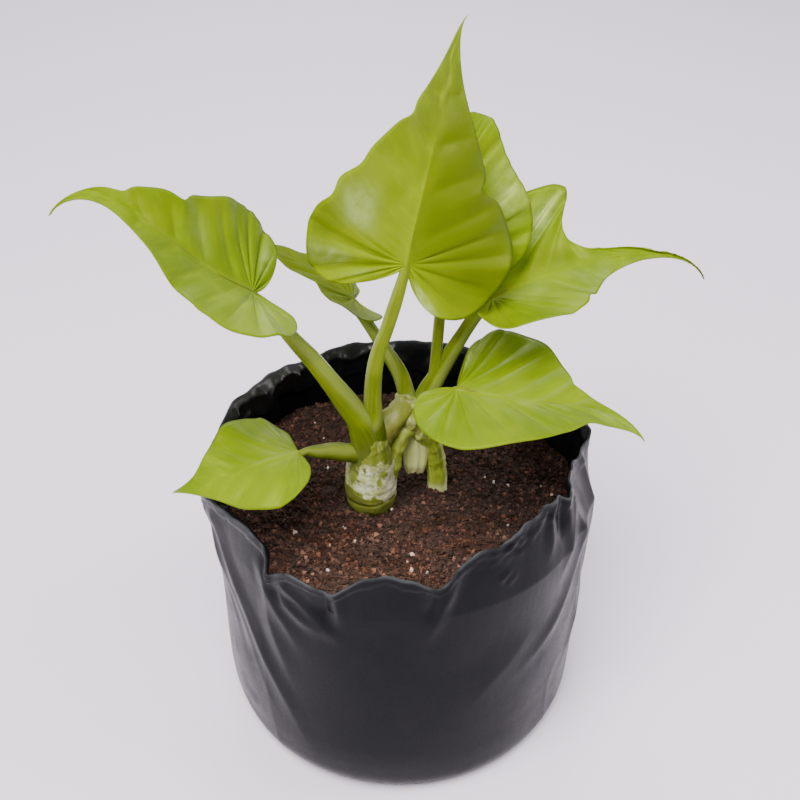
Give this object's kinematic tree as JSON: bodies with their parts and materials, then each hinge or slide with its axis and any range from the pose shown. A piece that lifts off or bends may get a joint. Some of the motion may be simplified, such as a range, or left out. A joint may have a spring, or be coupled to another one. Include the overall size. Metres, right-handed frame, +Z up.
{
  "type": "potted golden selloum philodendron",
  "caption": "Young philodendron with yellow-green arrow-shaped leaves on arching stalks, growing in a round black film nursery bag filled with potting mix.",
  "frame": {"origin": "middle of the nursery bag's flat underside, on the surface it stands on", "axes": "+Z up; the side shown in the picture faces -Y; +X to that view's right"},
  "size_m": [0.1776, 0.1197, 0.2082],
  "materials": {
    "black_film": "satin polythene film, softly creased",
    "potting_mix": "matt damp coco fibre with white grains",
    "stem_bark": "matt, pale cream with green patches and dark flecks",
    "green_shoot": "satin green",
    "golden_leaf": "satin yellow-green",
    "shaded_leaf": "satin olive-green"
  },
  "bodies": {
    "root": {"nursery_bag": "black_film", "potting_mix": "potting_mix", "main_stem": "stem_bark", "side_shoot": "green_shoot", "leaf_left": "golden_leaf", "leaf_centre": "shaded_leaf", "leaf_right": "golden_leaf", "leaf_front_right": "golden_leaf", "leaf_small_left": "golden_leaf", "leaf_behind": "golden_leaf", "leaf_back_left": "shaded_leaf"}
  },
  "joints": []
}
